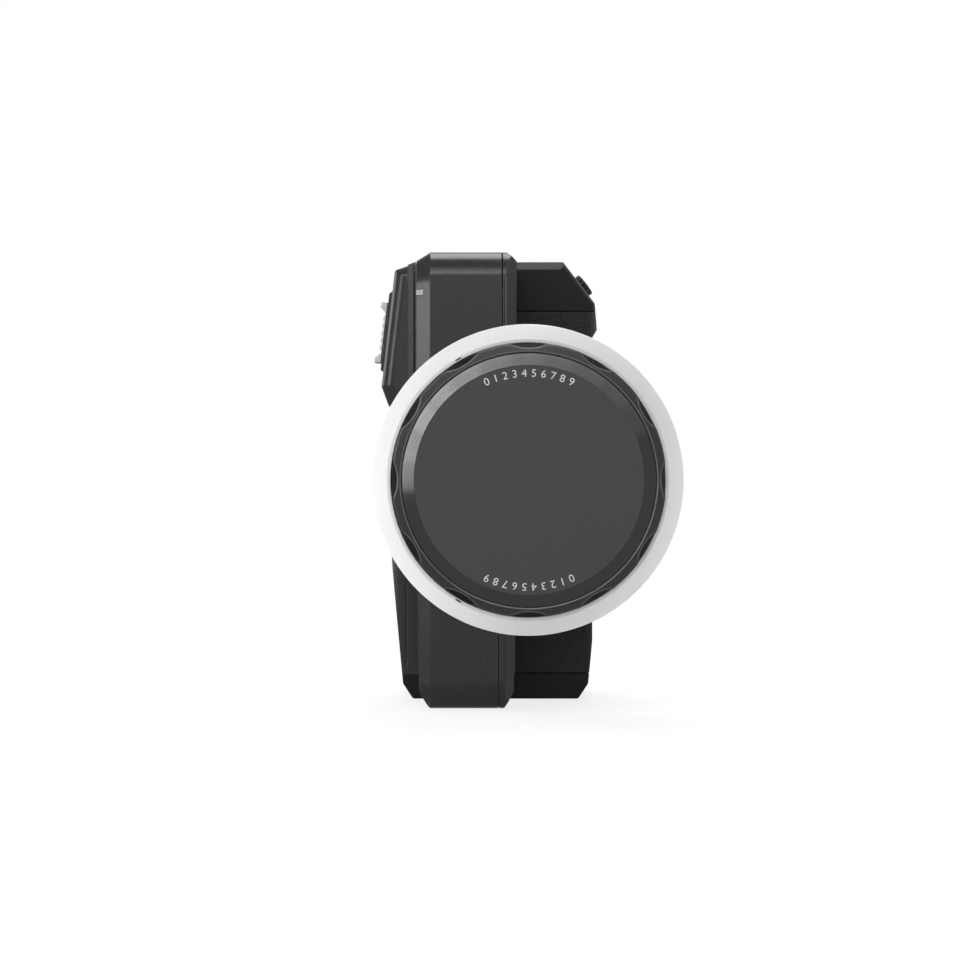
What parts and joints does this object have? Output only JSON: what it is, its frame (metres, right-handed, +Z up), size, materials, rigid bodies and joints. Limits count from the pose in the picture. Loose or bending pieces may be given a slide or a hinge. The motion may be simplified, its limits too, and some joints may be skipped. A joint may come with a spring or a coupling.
{
  "type": "focus demand",
  "caption": "Hand-held focus demand: large fluted knob with a removable marking ring, on a spine beside a rubber grip with a thumb slider, display, keys and index-finger button.",
  "frame": {"origin": "mouth of the tripod thread in the middle of the base", "axes": "+Z up the grip, +Y away from the knob's face, +X to the finger side"},
  "size_m": [0.087, 0.1115, 0.127],
  "materials": {
    "shell_paint": "fine matt paint",
    "black_plastic": "satin gloss",
    "dark_plastic": "fine matt",
    "grip_rubber": "leather-grained",
    "knob_metal": "satin anodised",
    "ring_white": "satin",
    "index_white": "satin",
    "silver": "satin",
    "steel": "ground",
    "magnet": "plated",
    "copper": "enamelled wire",
    "board": "solder mask",
    "chip": "moulded",
    "display_glass": "polished",
    "cell_wrap": "shrink wrap",
    "brass": "turned"
  },
  "bodies": {
    "body": {"main_housing": "shell_paint", "upper_cover": "shell_paint", "lower_cover": "shell_paint", "index_bar": "index_white", "base_cap": "black_plastic", "grip_rubber": "grip_rubber", "top_cap": "black_plastic", "thumb_housing": "shell_paint", "slider_plate": "shell_paint", "slider_rod": "steel", "slider_springs": "steel", "display_glass": "display_glass", "display_module": "dark_plastic", "key_board": "board", "key_switches": "dark_plastic", "trigger_switch": "dark_plastic", "trigger_board": "board", "pedestal": "shell_paint", "pedestal_back": "shell_paint", "motor_board": "board", "bearing_tube": "silver", "bearing_outer_rings": "steel", "stator": "steel", "coils": "copper", "encoder_board": "board", "main_board": "board", "board_chips": "chip", "radio_can": "silver", "cells": "cell_wrap", "cell_tray": "dark_plastic", "cell_link": "brass", "charging_socket": "steel", "thread_insert": "brass"},
    "knob": {"knob_grip": "knob_metal", "knob_face": "knob_metal", "knob_shaft": "steel", "bearing_inner_rings": "steel", "rotor_yoke": "steel", "rotor_magnets": "magnet", "encoder_magnet": "magnet", "stop_pin": "steel", "flange_magnets": "magnet"},
    "ring": {"marking_ring": "ring_white", "ring_magnets": "magnet"},
    "slider": {"slider_cap": "silver", "slider_carriage": "dark_plastic"},
    "trigger": {"trigger_button": "dark_plastic"},
    "key_low": {"key_low": "dark_plastic"},
    "key_middle": {"key_middle": "dark_plastic"},
    "key_high": {"key_high": "dark_plastic"}
  },
  "joints": [
    {"name": "focus_turn", "type": "hinge", "parent": "body", "child": "knob", "pos_m": [0.0085, -0.054, 0.0635], "axis": [0, -1, 0], "range_deg": [0, 240]},
    {"name": "ring_pull", "type": "slide", "parent": "knob", "child": "ring", "axis": [0, -1, 0], "range_m": [0, 0.024]},
    {"name": "slider_rock", "type": "slide", "parent": "body", "child": "slider", "axis": [0.1136, 0, 0.9935], "range_m": [-0.003, 0.003], "stiffness_N_per_m": 300, "deforming": ["slider_springs"]},
    {"name": "trigger_push", "type": "slide", "parent": "body", "child": "trigger", "axis": [-0.7944, 0, -0.6074], "range_m": [0, 0.001], "stiffness_N_per_m": 600},
    {"name": "key_low_push", "type": "slide", "parent": "body", "child": "key_low", "axis": [0.9935, 0, -0.1136], "range_m": [0, 0.0007], "stiffness_N_per_m": 600},
    {"name": "key_middle_push", "type": "slide", "parent": "body", "child": "key_middle", "axis": [0.9935, 0, -0.1136], "range_m": [0, 0.0007], "stiffness_N_per_m": 600},
    {"name": "key_high_push", "type": "slide", "parent": "body", "child": "key_high", "axis": [0.9935, 0, -0.1136], "range_m": [0, 0.0007], "stiffness_N_per_m": 600}
  ]
}
